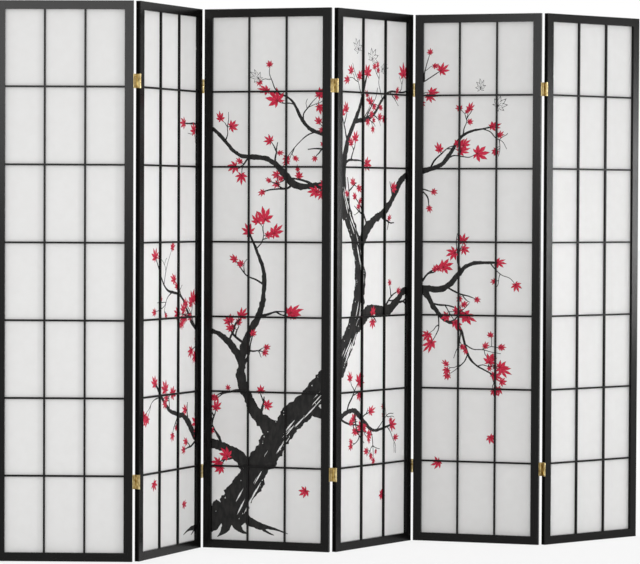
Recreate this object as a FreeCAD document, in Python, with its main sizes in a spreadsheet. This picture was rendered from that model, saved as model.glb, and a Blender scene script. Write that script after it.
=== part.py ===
"""Six-panel folding screen: lacquered frames, a lattice of bars over paper, and two-way brass hinges.

Every panel is modelled once, standing upright in its own frame: X runs from its left edge to its right edge,
Y from its front face to its back, and Z up from the floor. The panels and the hinge links are then placed
along the zigzag in which the screen stands. At an odd joint the panels fold back to back, at an even joint
face to face.
"""
import FreeCAD, Part
import os

import Sketcher

# Driving dimensions, in millimetres, degrees and counts
SIZES = (
    ("panel_width", 438, "one panel, from edge to edge"),
    ("panel_height", 1790, "one panel, from the floor to the top"),
    ("frame_thickness", 16, "frame, from front to back"),
    ("stile_width", 28, "face of an upright frame member"),
    ("rail_width", 28, "face of a top or bottom frame member"),
    ("arris", 0.8, "eased outer edge of the frame"),
    ("tenon_length", 20, "rail tenon"),
    ("tenon_thickness", 5, "rail tenon, from front to back"),
    ("tenon_width", 18, "rail tenon, up and down"),
    ("tenon_setback", 3, "rail tenon, behind the front face"),
    ("joinery_clearance", 0.1, "tenon in its mortise, bar in its notch"),
    ("pane_columns", 3, "panes across a panel"),
    ("pane_rows", 7, "panes up a panel"),
    ("bar_width", 6, "face of a lattice bar"),
    ("bar_depth", 7, "lattice bar, from front to back"),
    ("bar_setback", 4, "lattice, behind the front face"),
    ("stub_length", 5, "tenon of a lattice bar"),
    ("stub_shoulder", 1.5, "lattice tenon, in from the faces of its bar"),
    ("rebate_width", 8, "rebate that holds the paper"),
    ("paper_thickness", 0.3, "paper sheet"),
    ("paper_clearance", 0.5, "paper and battens in the rebate"),
    ("batten_setback", 0.5, "battens, in from the back face"),
    ("hinge_rise", 255, "middle of a hinge, from the nearer end of the panel"),
    ("hinge_height", 45, "hinge, up and down"),
    ("hinge_gap", 6.4, "gap between two panels, and diameter of a knuckle"),
    ("fold_gap", 3, "space between two panels folded together"),
    ("leaf_thickness", 1.4, "plate screwed to the edge of a panel"),
    ("leaf_setback", 2.2, "plate, in from the face whose knuckle it passes"),
    ("link_thickness", 1.2, "plate between the two knuckles"),
    ("knuckle_split", 0.3, "space between an upper and a lower knuckle"),
    ("knuckle_clearance", 0.4, "plate beside a knuckle that turns"),
    ("pin_radius", 1.25, "hinge pin"),
    ("pin_clearance", 0.05, "pin in its knuckle, on the radius"),
    ("pin_head_radius", 2.1, "head of a pin"),
    ("pin_head_height", 0.8, "head of a pin"),
    ("screw_radius", 1.25, "shank of a hinge screw"),
    ("screw_head_radius", 2.5, "countersunk head, at its top"),
    ("screw_head_height", 1.3, "countersunk head"),
    ("screw_length", 14, "hinge screw, over all"),
    ("screw_point", 3, "tapered point of a hinge screw"),
    ("screw_tip_radius", 0.2, "end of the point"),
    ("screw_spacing", 24, "between the two screws of a leaf"),
    ("screw_clearance", 0.05, "screw in its leaf and its hole, on the radius"),
    ("slot_width", 0.7, "cross slot of a screw"),
    ("slot_length", 2.8, "cross slot of a screw"),
    ("slot_depth", 0.6, "cross slot of a screw"),
    ("overrun", 1, "how far a cut runs past the face it opens"),
    ("first_turn", -21.5, "panel 1, turned from the length of the screen"),
    ("fold_1", 67, "fold between panels 1 and 2"),
    ("fold_2", 82.5, "fold between panels 2 and 3"),
    ("fold_3", 71, "fold between panels 3 and 4"),
    ("fold_4", 71, "fold between panels 4 and 5"),
    ("fold_5", 56.5, "fold between panels 5 and 6"),
)
PANEL_COUNT = 6

doc = FreeCAD.newDocument("folding_screen")
sheet = doc.addObject("Spreadsheet::Sheet", "dims")
for row, (alias, value, note) in enumerate(SIZES, start=1):
    sheet.set(f"A{row}", note)
    sheet.set(f"B{row}", str(value))
    sheet.setAlias(f"B{row}", alias)
doc.recompute()

# Places that several pieces share, written in the sizes above
OPENING_WIDTH = "(dims.panel_width - 2 * dims.stile_width)"
OPENING_HEIGHT = "(dims.panel_height - 2 * dims.rail_width)"
PANE_WIDTH = f"(({OPENING_WIDTH} + dims.bar_width) / dims.pane_columns - dims.bar_width)"
PANE_HEIGHT = f"(({OPENING_HEIGHT} + dims.bar_width) / dims.pane_rows - dims.bar_width)"
COLUMN_PITCH = f"({PANE_WIDTH} + dims.bar_width)"
ROW_PITCH = f"({PANE_HEIGHT} + dims.bar_width)"
FIRST_UPRIGHT = f"(dims.stile_width + {PANE_WIDTH})"
FIRST_CROSSBAR = f"(dims.rail_width + {PANE_HEIGHT})"
LAP_DEPTH = "(dims.bar_depth / 2)"
PAPER_FRONT = "(dims.bar_setback + dims.bar_depth)"
PAPER_BACK = f"({PAPER_FRONT} + dims.paper_thickness)"
REBATE_DEPTH = f"(dims.frame_thickness - {PAPER_FRONT})"
REBATE_SIDE = "(dims.stile_width - dims.rebate_width)"
REBATE_FOOT = "(dims.rail_width - dims.rebate_width)"
SHEET_SIDE = f"({REBATE_SIDE} + dims.paper_clearance)"
SHEET_FOOT = f"({REBATE_FOOT} + dims.paper_clearance)"
BATTEN_WIDTH = "(dims.rebate_width - dims.paper_clearance)"
BATTEN_DEPTH = f"({REBATE_DEPTH} - dims.paper_thickness - dims.batten_setback)"
SIDE_BATTEN_HEIGHT = f"(dims.panel_height - 2 * {SHEET_FOOT})"
CROSS_BATTEN_SIDE = "(dims.stile_width + dims.joinery_clearance)"
BARREL_RADIUS = "(dims.hinge_gap / 2)"
PIN_OUT = "(dims.fold_gap / 2)"
BACK_PIN = f"(dims.frame_thickness + {PIN_OUT})"
FRONT_PIN = f"(-{PIN_OUT})"
HINGE_FOOT = "(dims.hinge_rise - dims.hinge_height / 2)"
HINGE_TOP = "(dims.hinge_rise + dims.hinge_height / 2)"
SPLIT_FOOT = "(dims.hinge_rise - dims.knuckle_split / 2)"
SPLIT_TOP = "(dims.hinge_rise + dims.knuckle_split / 2)"
KNUCKLE_HEIGHT = "((dims.hinge_height - dims.knuckle_split) / 2)"
HINGE_SPREAD = "(dims.panel_height - 2 * dims.hinge_rise)"
BORE_RADIUS = "(dims.pin_radius + dims.pin_clearance)"
LEAF_FACE = "(dims.panel_width + dims.leaf_thickness)"
SCREW_HOLE_RADIUS = "(dims.screw_radius + dims.screw_clearance)"
MID_DEPTH = "(dims.frame_thickness / 2)"


def size(alias):
    """A number of the spreadsheet."""
    return float(getattr(sheet, alias))


def worked_out(expression):
    """The number that an expression gives."""
    return float(sheet.evalExpression(expression))


def bind(feature, **expressions):
    """Bind properties to expressions. A place is given as at=(x, y, z)."""
    for axis, expression in zip("xyz", expressions.pop("at", ())):
        feature.setExpression(f"Placement.Base.{axis}", expression)
    for name, expression in expressions.items():
        feature.setExpression(name, expression)
    return feature


def origin_feature(body, role):
    """One of the planes or axes of a body's own origin."""
    return next(feature for feature in body.Origin.OriginFeatures if feature.Role == role)


def new_body(name):
    return doc.addObject("PartDesign::Body", name)


def box(body, kind, name, at, extent):
    """A box that is added to a body or taken from it."""
    length, width, height = extent
    feature = body.newObject(f"PartDesign::{kind}Box", name)
    return bind(feature, at=at, Length=length, Width=width, Height=height)


def cylinder(body, kind, name, at, radius, height):
    """An upright cylinder that is added to a body or taken from it."""
    feature = body.newObject(f"PartDesign::{kind}Cylinder", name)
    return bind(feature, at=at, Radius=radius, Height=height)


def row_of(body, name, role, originals, step, count):
    """Repeat features of a body, or all of it if none is named, in equal steps along one of its axes."""
    doc.recompute()
    pattern = body.newObject("PartDesign::LinearPattern", name)
    if originals:
        pattern.Originals = originals
    else:
        pattern.TransformMode = "Whole shape"
    pattern.Direction = (origin_feature(body, role), [""])
    bind(pattern, Length=f"{step} * ({count} - 1)", Occurrences=count)
    body.Tip = pattern


def profile(body, role, name, corners, offset):
    """A closed sketch on one of the body's origin planes, moved along the plane's normal by the offset."""
    sketch = body.newObject("Sketcher::SketchObject", name)
    sketch.AttachmentSupport = (origin_feature(body, role), [""])
    sketch.MapMode = "FlatFace"
    sketch.setExpression("AttachmentOffset.Base.z", offset)
    points = [FreeCAD.Vector(worked_out(across), worked_out(up), 0) for across, up in corners]
    last = len(points) - 1
    for index, point in enumerate(points):
        following = points[0] if index == last else points[index + 1]
        sketch.addGeometry(Part.LineSegment(point, following), False)
    for index in range(len(points)):
        following = 0 if index == last else index + 1
        sketch.addConstraint(Sketcher.Constraint("Coincident", index, 2, following, 1))
    for index, (point, corner) in enumerate(zip(points, corners)):
        ways = (("DistanceX", point.x, corner[0], -2), ("DistanceY", point.y, corner[1], -1))
        for distance, value, expression, axis in ways:
            if expression == "0":
                sketch.addConstraint(Sketcher.Constraint("PointOnObject", index, 1, axis))
                continue
            constraint = sketch.addConstraint(Sketcher.Constraint(distance, -1, 1, index, 1, value))
            sketch.setExpression(f"Constraints[{constraint}]", expression)
    return sketch


def pad(body, name, sketch, length):
    feature = body.newObject("PartDesign::Pad", name)
    feature.Profile = sketch
    return bind(feature, Length=length)


def mirrored(name, source, normal, base):
    """The mirror image of an object across a plane that is square to X or Z."""
    mirror = doc.addObject("Part::Mirroring", name)
    mirror.Source = source
    mirror.Normal = normal
    mirror.setExpression("Base.x" if normal.x else "Base.z", base)
    return mirror


def across(name, source):
    """The piece on the other side of the panel."""
    return mirrored(name, source, FreeCAD.Vector(1, 0, 0), "dims.panel_width / 2")


def compound(name, pieces):
    group = doc.addObject("Part::Compound", name)
    group.Links = pieces
    return group


# Frame: a stile is a length of moulding with a stopped rebate, mortises and holes for the hinge screws
def make_stile():
    body = new_body("stile")
    section = profile(body, "XY_Plane", "stile_section", (
        ("dims.arris", "0"),
        ("dims.stile_width", "0"),
        ("dims.stile_width", "dims.frame_thickness"),
        ("dims.arris", "dims.frame_thickness"),
        ("0", "dims.frame_thickness - dims.arris"),
        ("0", "dims.arris"),
    ), "0")
    pad(body, "stile_length", section, "dims.panel_height")
    box(body, "Subtractive", "stile_rebate",
        (REBATE_SIDE, PAPER_FRONT, REBATE_FOOT),
        ("dims.rebate_width + dims.overrun", f"{REBATE_DEPTH} + dims.overrun",
         f"dims.panel_height - 2 * {REBATE_FOOT}"))
    lower = "(dims.rail_width - dims.tenon_width) / 2"
    upper = f"dims.panel_height - {lower} - dims.tenon_width"
    for end, foot in (("lower", lower), ("upper", upper)):
        box(body, "Subtractive", f"{end}_mortise",
            ("dims.stile_width - dims.tenon_length", "dims.tenon_setback", foot),
            ("dims.tenon_length + dims.overrun", "dims.tenon_thickness", "dims.tenon_width"))
    slot = box(body, "Subtractive", "crossbar_mortise",
               ("dims.stile_width - dims.stub_length", "dims.bar_setback + dims.stub_shoulder", FIRST_CROSSBAR),
               ("dims.stub_length + dims.overrun", "dims.bar_depth - 2 * dims.stub_shoulder", "dims.bar_width"))
    row_of(body, "crossbar_mortises", "Z_Axis", [slot], ROW_PITCH, "dims.pane_rows - 1")
    return body


def screw_heights():
    """Height of each screw on one edge of a panel: two in the lower hinge and two in the upper one."""
    for hinge, middle in (("lower", "dims.hinge_rise"), ("upper", "dims.panel_height - dims.hinge_rise")):
        for place, sign in (("low", "-"), ("high", "+")):
            yield f"{hinge}_{place}", f"{middle} {sign} dims.screw_spacing / 2"


LYING = FreeCAD.Placement(FreeCAD.Vector(), FreeCAD.Rotation(FreeCAD.Vector(0, 1, 0), 90))


def lying(kind, name, start, height):
    """A round primitive that lies along X, at mid depth and at the given height."""
    feature = doc.addObject(kind, name)
    feature.Placement = LYING
    return bind(feature, at=(start, MID_DEPTH, height))


def drilled(stile):
    """The stile with a hole for each hinge screw in its outer edge."""
    holes = []
    for place, height in screw_heights():
        hole = lying("Part::Cylinder", f"hole_{place}", "-dims.overrun", height)
        length = "dims.screw_length - dims.leaf_thickness + dims.joinery_clearance + dims.overrun"
        holes.append(bind(hole, Radius=SCREW_HOLE_RADIUS, Height=length))
    cut = doc.addObject("Part::Cut", "hinged_stile")
    cut.Base = stile
    cut.Tool = compound("screw_holes", holes)
    return cut


def make_rail():
    body = new_body("rail")
    section = profile(body, "YZ_Plane", "rail_section", (
        ("dims.arris", "0"),
        ("dims.frame_thickness - dims.arris", "0"),
        ("dims.frame_thickness", "dims.arris"),
        ("dims.frame_thickness", REBATE_FOOT),
        (PAPER_FRONT, REBATE_FOOT),
        (PAPER_FRONT, "dims.rail_width"),
        ("0", "dims.rail_width"),
        ("0", "dims.arris"),
    ), "dims.stile_width")
    pad(body, "rail_length", section, OPENING_WIDTH)
    reach = "(dims.tenon_length - dims.joinery_clearance)"
    starts = {"left": f"dims.stile_width - {reach}", "right": "dims.panel_width - dims.stile_width"}
    for end, start in starts.items():
        box(body, "Additive", f"{end}_tenon",
            (start, "dims.tenon_setback + dims.joinery_clearance / 2",
             "(dims.rail_width - dims.tenon_width + dims.joinery_clearance) / 2"),
            (reach, "dims.tenon_thickness - dims.joinery_clearance",
             "dims.tenon_width - dims.joinery_clearance"))
    slot = box(body, "Subtractive", "upright_mortise",
               (FIRST_UPRIGHT, "dims.bar_setback + dims.stub_shoulder", "dims.rail_width - dims.stub_length"),
               ("dims.bar_width", "dims.bar_depth - 2 * dims.stub_shoulder", "dims.stub_length + dims.overrun"))
    row_of(body, "upright_mortises", "X_Axis", [slot], COLUMN_PITCH, "dims.pane_columns - 1")
    return body


# Lattice: bars halved over each other, with stub tenons in the frame
STUB_REACH = "(dims.stub_length - dims.joinery_clearance)"
STUB_FRONT = "dims.bar_setback + dims.stub_shoulder + dims.joinery_clearance / 2"
STUB_THICKNESS = "dims.bar_depth - 2 * dims.stub_shoulder - dims.joinery_clearance"
STUB_WIDTH = "dims.bar_width - dims.joinery_clearance"


def make_uprights():
    body = new_body("uprights")
    bar = box(body, "Additive", "upright_bar", (FIRST_UPRIGHT, "dims.bar_setback", "dims.rail_width"),
              ("dims.bar_width", "dims.bar_depth", OPENING_HEIGHT))
    stub = box(body, "Additive", "upright_stub",
               (f"{FIRST_UPRIGHT} + dims.joinery_clearance / 2", STUB_FRONT, f"dims.rail_width - {STUB_REACH}"),
               (STUB_WIDTH, STUB_THICKNESS, f"{OPENING_HEIGHT} + 2 * {STUB_REACH}"))
    row_of(body, "upright_bars", "X_Axis", [bar, stub], COLUMN_PITCH, "dims.pane_columns - 1")
    notch = box(body, "Subtractive", "front_notch",
                ("dims.stile_width", "dims.bar_setback - dims.overrun",
                 f"{FIRST_CROSSBAR} - dims.joinery_clearance / 2"),
                (OPENING_WIDTH, f"{LAP_DEPTH} + dims.overrun", "dims.bar_width + dims.joinery_clearance"))
    row_of(body, "front_notches", "Z_Axis", [notch], ROW_PITCH, "dims.pane_rows - 1")
    return body


def make_crossbars():
    body = new_body("crossbars")
    bar = box(body, "Additive", "cross_bar", ("dims.stile_width", "dims.bar_setback", FIRST_CROSSBAR),
              (OPENING_WIDTH, "dims.bar_depth", "dims.bar_width"))
    stub = box(body, "Additive", "cross_stub",
               (f"dims.stile_width - {STUB_REACH}", STUB_FRONT,
                f"{FIRST_CROSSBAR} + dims.joinery_clearance / 2"),
               (f"{OPENING_WIDTH} + 2 * {STUB_REACH}", STUB_THICKNESS, STUB_WIDTH))
    row_of(body, "cross_bars", "Z_Axis", [bar, stub], ROW_PITCH, "dims.pane_rows - 1")
    notch = box(body, "Subtractive", "back_notch",
                (f"{FIRST_UPRIGHT} - dims.joinery_clearance / 2", f"dims.bar_setback + {LAP_DEPTH}",
                 "dims.rail_width"),
                ("dims.bar_width + dims.joinery_clearance", f"{LAP_DEPTH} + dims.overrun", OPENING_HEIGHT))
    row_of(body, "back_notches", "X_Axis", [notch], COLUMN_PITCH, "dims.pane_columns - 1")
    return body


# Paper behind the lattice, held in the rebate by four battens
def make_block(name, at, extent):
    block = doc.addObject("Part::Box", name)
    length, width, height = extent
    return bind(block, at=at, Length=length, Width=width, Height=height)


def make_paper():
    return make_block("paper_sheet", (SHEET_SIDE, PAPER_FRONT, SHEET_FOOT),
                      (f"dims.panel_width - 2 * {SHEET_SIDE}", "dims.paper_thickness",
                       f"dims.panel_height - 2 * {SHEET_FOOT}"))


def make_battens():
    side = make_block("side_batten", (SHEET_SIDE, PAPER_BACK, SHEET_FOOT),
                      (BATTEN_WIDTH, BATTEN_DEPTH, SIDE_BATTEN_HEIGHT))
    foot = make_block("foot_batten", (CROSS_BATTEN_SIDE, PAPER_BACK, SHEET_FOOT),
                      (f"dims.panel_width - 2 * {CROSS_BATTEN_SIDE}", BATTEN_DEPTH, BATTEN_WIDTH))
    head = mirrored("head_batten", foot, FreeCAD.Vector(0, 0, 1), "dims.panel_height / 2")
    return [side, across("other_side_batten", side), foot, head]


# Hinge leaf on the right edge of a panel: its knuckle turns on the back pin, above the knuckle of the link
def make_leaves():
    body = new_body("leaves")
    outline = profile(body, "YZ_Plane", "leaf_outline", (
        ("dims.leaf_setback", HINGE_FOOT),
        ("dims.frame_thickness - dims.leaf_setback", HINGE_FOOT),
        ("dims.frame_thickness - dims.leaf_setback", SPLIT_TOP),
        (BACK_PIN, SPLIT_TOP),
        (BACK_PIN, HINGE_TOP),
        ("dims.leaf_setback", HINGE_TOP),
    ), "dims.panel_width")
    pad(body, "leaf_plate", outline, "dims.leaf_thickness")
    barrel = (f"dims.panel_width + {BARREL_RADIUS}", BACK_PIN, SPLIT_TOP)
    cylinder(body, "Additive", "leaf_knuckle", barrel, BARREL_RADIUS, KNUCKLE_HEIGHT)
    cylinder(body, "Subtractive", "leaf_bore", barrel, BORE_RADIUS, KNUCKLE_HEIGHT)
    for place, sign in (("low", "-"), ("high", "+")):
        height = f"dims.hinge_rise {sign} dims.screw_spacing / 2"
        hole = cylinder(body, "Subtractive", f"{place}_hole", (), SCREW_HOLE_RADIUS, "dims.leaf_thickness")
        sink = body.newObject("PartDesign::SubtractiveCone", f"{place}_countersink")
        bind(sink, Radius1=SCREW_HOLE_RADIUS, Radius2="dims.screw_head_radius + dims.screw_clearance",
             Height="dims.screw_head_height")
        for feature, start in ((hole, "dims.panel_width"), (sink, f"{LEAF_FACE} - dims.screw_head_height")):
            feature.Placement = LYING
            bind(feature, at=(start, MID_DEPTH, height))
    row_of(body, "both_leaves", "Z_Axis", [], HINGE_SPREAD, "2")
    return body


def make_screws():
    """The countersunk screws of the right edge, with crossed slots."""
    screws = []
    for place, height in screw_heights():
        head = lying("Part::Cone", f"head_{place}", f"{LEAF_FACE} - dims.screw_head_height", height)
        bind(head, Radius1="dims.screw_radius", Radius2="dims.screw_head_radius",
             Height="dims.screw_head_height")
        shank = lying("Part::Cylinder", f"shank_{place}",
                      f"{LEAF_FACE} - dims.screw_length + dims.screw_point", height)
        bind(shank, Radius="dims.screw_radius",
             Height="dims.screw_length - dims.screw_point - dims.screw_head_height")
        point = lying("Part::Cone", f"point_{place}", f"{LEAF_FACE} - dims.screw_length", height)
        bind(point, Radius1="dims.screw_tip_radius", Radius2="dims.screw_radius", Height="dims.screw_point")
        whole = doc.addObject("Part::MultiFuse", f"blank_{place}")
        whole.Shapes = [head, shank, point]
        slots = []
        for way, width, tall in (("level", "dims.slot_length", "dims.slot_width"),
                                 ("upright", "dims.slot_width", "dims.slot_length")):
            slots.append(make_block(
                f"{way}_slot_{place}",
                (f"{LEAF_FACE} - dims.slot_depth", f"{MID_DEPTH} - {width} / 2", f"{height} - {tall} / 2"),
                ("dims.slot_depth + dims.overrun", width, tall)))
        screw = doc.addObject("Part::Cut", f"screw_{place}")
        screw.Base = whole
        screw.Tool = compound(f"slots_{place}", slots)
        screws.append(screw)
    return screws


# Hinge link, with X from the middle of the gap: a plate between two knuckles, which lie below the leaves' own
def make_links():
    body = new_body("links")
    clear = f"({BARREL_RADIUS} + dims.knuckle_clearance)"
    outline = profile(body, "YZ_Plane", "link_outline", (
        (FRONT_PIN, HINGE_FOOT),
        (BACK_PIN, HINGE_FOOT),
        (BACK_PIN, SPLIT_FOOT),
        (f"{BACK_PIN} - {clear}", SPLIT_FOOT),
        (f"{BACK_PIN} - {clear}", HINGE_TOP),
        (f"{FRONT_PIN} + {clear}", HINGE_TOP),
        (f"{FRONT_PIN} + {clear}", SPLIT_FOOT),
        (FRONT_PIN, SPLIT_FOOT),
    ), "-dims.link_thickness / 2")
    pad(body, "link_plate", outline, "dims.link_thickness")
    for side, depth in (("front", FRONT_PIN), ("back", BACK_PIN)):
        barrel = ("0", depth, HINGE_FOOT)
        cylinder(body, "Additive", f"{side}_knuckle", barrel, BARREL_RADIUS, KNUCKLE_HEIGHT)
        cylinder(body, "Subtractive", f"{side}_bore", barrel, BORE_RADIUS, KNUCKLE_HEIGHT)
    row_of(body, "both_links", "Z_Axis", [], HINGE_SPREAD, "2")
    return body


def make_pins():
    """A headed pin in each knuckle, for both hinges of a joint."""
    body = new_body("pins")
    foot = f"{HINGE_FOOT} - dims.pin_head_height"
    for side, depth in (("front", FRONT_PIN), ("back", BACK_PIN)):
        cylinder(body, "Additive", f"{side}_pin", ("0", depth, HINGE_FOOT), "dims.pin_radius",
                 "dims.hinge_height")
        for end, start in (("foot", foot), ("head", HINGE_TOP)):
            cylinder(body, "Additive", f"{side}_{end}", ("0", depth, start), "dims.pin_head_radius",
                     "dims.pin_head_height")
    row_of(body, "all_pins", "Z_Axis", [], HINGE_SPREAD, "2")
    return body


def on_left_edge(name, pieces):
    """The pieces of the right edge, turned half round the middle of the panel."""
    turned = compound(name, pieces)
    turned.Placement = FreeCAD.Placement(FreeCAD.Vector(), FreeCAD.Rotation(FreeCAD.Vector(0, 0, 1), 180))
    return bind(turned, at=("dims.panel_width", "dims.frame_thickness", "0"))


free_stile = make_stile()
hinged_stile = drilled(free_stile)
rail = make_rail()
rails = [rail, mirrored("top_rail", rail, FreeCAD.Vector(0, 0, 1), "dims.panel_height / 2")]
right_leaves = [make_leaves()]
right_screws = make_screws()
left_leaves = [on_left_edge("left_leaves", right_leaves)]
left_screws = [on_left_edge("left_screws", right_screws)]
stiles = {"left_free": free_stile, "left_hinged": hinged_stile,
          "right_free": across("right_free_stile", free_stile),
          "right_hinged": across("right_hinged_stile", hinged_stile)}
shared = {"rails": rails, "uprights": [make_uprights()], "crossbars": [make_crossbars()],
          "paper": [make_paper()], "battens": make_battens()}
link_pieces = {"links": [make_links()], "pins": [make_pins()]}


def panel_pieces(number):
    """The pieces of one panel. The two end panels have hinges on one edge only."""
    on_left = number > 1
    on_right = number < PANEL_COUNT
    pieces = {"stiles": [stiles["left_hinged" if on_left else "left_free"],
                         stiles["right_hinged" if on_right else "right_free"]]}
    pieces.update(shared)
    pieces["hinge_leaves"] = (left_leaves if on_left else []) + (right_leaves if on_right else [])
    pieces["hinge_screws"] = (left_screws if on_left else []) + (right_screws if on_right else [])
    return pieces


def shifted(distance):
    return FreeCAD.Placement(FreeCAD.Vector(distance, 0, 0), FreeCAD.Rotation())


def standing():
    """Where each panel and each link stands, from the left: the zigzag of the opened screen."""
    upright_axis = FreeCAD.Vector(0, 0, 1)
    here = FreeCAD.Placement(FreeCAD.Vector(), FreeCAD.Rotation(upright_axis, size("first_turn")))
    to_link = shifted(size("panel_width") + size("hinge_gap") / 2)
    to_panel = shifted(size("panel_width") + size("hinge_gap"))
    panels, links = [here], []
    for joint in range(1, PANEL_COUNT):
        backwards = joint % 2 == 1
        depth = worked_out(BACK_PIN if backwards else FRONT_PIN)
        turn = size(f"fold_{joint}") if backwards else -size(f"fold_{joint}")
        pin = FreeCAD.Vector(to_link.Base.x, depth, 0)
        fold = FreeCAD.Placement(FreeCAD.Vector(), FreeCAD.Rotation(upright_axis, turn), pin)
        links.append(here.multiply(fold if backwards else FreeCAD.Placement()).multiply(to_link))
        here = here.multiply(fold).multiply(to_panel)
        panels.append(here)
    return panels, links


def place_nodes():
    """One node for each kind of piece of each panel and joint, placed and ready to be written."""
    panels, links = standing()
    nodes = []
    for number, place in enumerate(panels, start=1):
        for kind, pieces in panel_pieces(number).items():
            nodes.append((compound(f"panel_{number}_{kind}", pieces), place))
    for number, place in enumerate(links, start=1):
        for kind, pieces in link_pieces.items():
            nodes.append((compound(f"hinge_{number}_{kind}", pieces), place))
    for node, place in nodes:
        node.Placement = place
    return nodes, links


def centre(nodes):
    """Move everything so that the origin lies under the middle of the screen's box."""
    whole = Part.makeCompound([node.Shape for node, place in nodes]).optimalBoundingBox(False)
    shift = FreeCAD.Placement(FreeCAD.Vector(-whole.Center.x, -whole.Center.y, -whole.ZMin), FreeCAD.Rotation())
    for node, place in nodes:
        node.Placement = shift.multiply(place)
    return shift


def check(nodes):
    failed = [item.Name for item in doc.Objects if {"Invalid", "Error"} & set(item.State)]
    bad = [node.Label for node, place in nodes if node.Shape.isNull() or not node.Shape.isValid()]
    if failed or bad:
        raise RuntimeError(f"failed objects {failed}, bad shapes {bad}")


doc.recompute()
nodes, links = place_nodes()
doc.recompute()
shift = centre(nodes)
doc.recompute()
check(nodes)
os.makedirs("parts", exist_ok=True)
for node, place in nodes:
    node.Shape.exportStep(f"parts/{node.Label}.step")

for number, place in enumerate(links, start=1):
    for side, depth in (("front", FRONT_PIN), ("back", BACK_PIN)):
        axis = shift.multiply(place).multVec(FreeCAD.Vector(0, worked_out(depth), 0))
        print(f"joint {number} {side} pin at x {axis.x:.4f} y {axis.y:.4f} mm")
whole = Part.makeCompound([node.Shape for node, place in nodes]).optimalBoundingBox(False)
print(f"screen {whole.XLength:.2f} x {whole.YLength:.2f} x {whole.ZLength:.2f} mm, {len(nodes)} nodes")
for node, place in nodes:
    print(f"{node.Label}: {len(node.Shape.Solids)} solids, {node.Shape.Volume:.1f} mm3")
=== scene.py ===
"""A six-panel folding screen: lacquered frames, a lattice over printed paper, and two-way brass hinges."""
import math
import random

import bmesh
import bpy
from mathutils import Matrix, Vector, noise
from mathutils.geometry import delaunay_2d_cdt


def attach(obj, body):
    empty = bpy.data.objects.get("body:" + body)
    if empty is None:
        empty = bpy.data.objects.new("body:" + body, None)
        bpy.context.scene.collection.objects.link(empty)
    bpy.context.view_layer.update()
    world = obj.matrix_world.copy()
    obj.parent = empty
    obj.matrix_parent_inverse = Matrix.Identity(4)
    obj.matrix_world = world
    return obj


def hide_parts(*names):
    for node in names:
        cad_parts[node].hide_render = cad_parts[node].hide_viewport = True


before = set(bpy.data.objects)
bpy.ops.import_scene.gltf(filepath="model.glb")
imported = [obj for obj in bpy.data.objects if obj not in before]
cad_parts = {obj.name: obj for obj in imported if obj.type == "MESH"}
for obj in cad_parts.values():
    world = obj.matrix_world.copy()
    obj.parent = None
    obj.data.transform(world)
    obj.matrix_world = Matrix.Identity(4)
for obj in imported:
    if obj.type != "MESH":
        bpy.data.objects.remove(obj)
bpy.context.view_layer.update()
scene = bpy.context.scene

# Camera: it stands nine metres from the screen and a little to its left, at chest height,
# with a long lens that looks slightly down.
CAMERA_PLACE = (-3.3585, -9.1525, 1.14175)
CAMERA_HEADING = 19.9536
CAMERA_DIP = 1.498
CAMERA_TILT = 0.2553
LENS_MM = 165.05
SENSOR_MM = 36
SIGHT_REACH = 200

camera_data = bpy.data.cameras.new("camera")
camera_data.lens = LENS_MM
camera_data.sensor_width = SENSOR_MM
camera_data.clip_end = SIGHT_REACH
camera = bpy.data.objects.new("camera", camera_data)
heading = Matrix.Rotation(-math.radians(CAMERA_HEADING), 4, "Z")
level = Matrix.Rotation(math.radians(90 - CAMERA_DIP), 4, "X")
tilt = Matrix.Rotation(math.radians(CAMERA_TILT), 4, "Z")
camera.matrix_world = Matrix.Translation(CAMERA_PLACE) @ heading @ level @ tilt
scene.collection.objects.link(camera)
scene.camera = camera
scene.view_settings.view_transform = "Standard"


# Studio: a plain white floor that runs to the horizon under an even white sky.
# A wide soft lamp hangs at the front left, two small ones stand far out on the right, one with a
# grid shines from the front right onto the middle panels, and one hangs behind the screen.
FLOOR_REACH = 60.0
FLOOR_DROP = 0.0002
FLOOR_WHITE = (0.9, 0.9, 0.9, 1)
FLOOR_ROUGHNESS = 0.9
FLOOR_GLOSS = 0.1
FLOOR_GLOW = 0.8
PURE_WHITE = (1, 1, 1, 1)
SKY_LIGHT = 0.68
OPEN_BEAM = 180


class Value:
    """A number or colour that changes over a surface. Arithmetic on numbers adds Math nodes."""

    def __init__(self, nodes, socket):
        self.nodes = nodes
        self.socket = socket

    def maths(self, operation, *terms):
        return self.nodes.add("ShaderNodeMath", {"operation": operation}, dict(enumerate(terms)))

    def __add__(self, other):
        return self.maths("ADD", self, other)

    def __sub__(self, other):
        return self.maths("SUBTRACT", self, other)

    def __rsub__(self, other):
        return self.maths("SUBTRACT", other, self)

    def __mul__(self, other):
        return self.maths("MULTIPLY", self, other)

    __radd__ = __add__
    __rmul__ = __mul__


class Nodes:
    """The shader nodes of one material or of the world."""

    def __init__(self, owner):
        owner.use_nodes = True
        self.tree = owner.node_tree

    def add(self, kind, settings=None, sockets=None, output=0):
        node = self.tree.nodes.new(kind)
        for name, setting in (settings or {}).items():
            setattr(node, name, setting)
        for name, value in (sockets or {}).items():
            self.join(value, node.inputs[name])
        return Value(self, node.outputs[output])

    def join(self, value, socket):
        if isinstance(value, Value):
            self.tree.links.new(value.socket, socket)
        else:
            socket.default_value = value

    def seen_directly(self):
        """1 where the eye, a reflection or clear glass meets it, 0 for plain light."""
        rays = [self.add("ShaderNodeLightPath", output=name)
                for name in ("Is Camera Ray", "Is Glossy Ray", "Is Transmission Ray")]
        return rays[0].maths("MAXIMUM", rays[0].maths("MAXIMUM", rays[0], rays[1]), rays[2])


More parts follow.
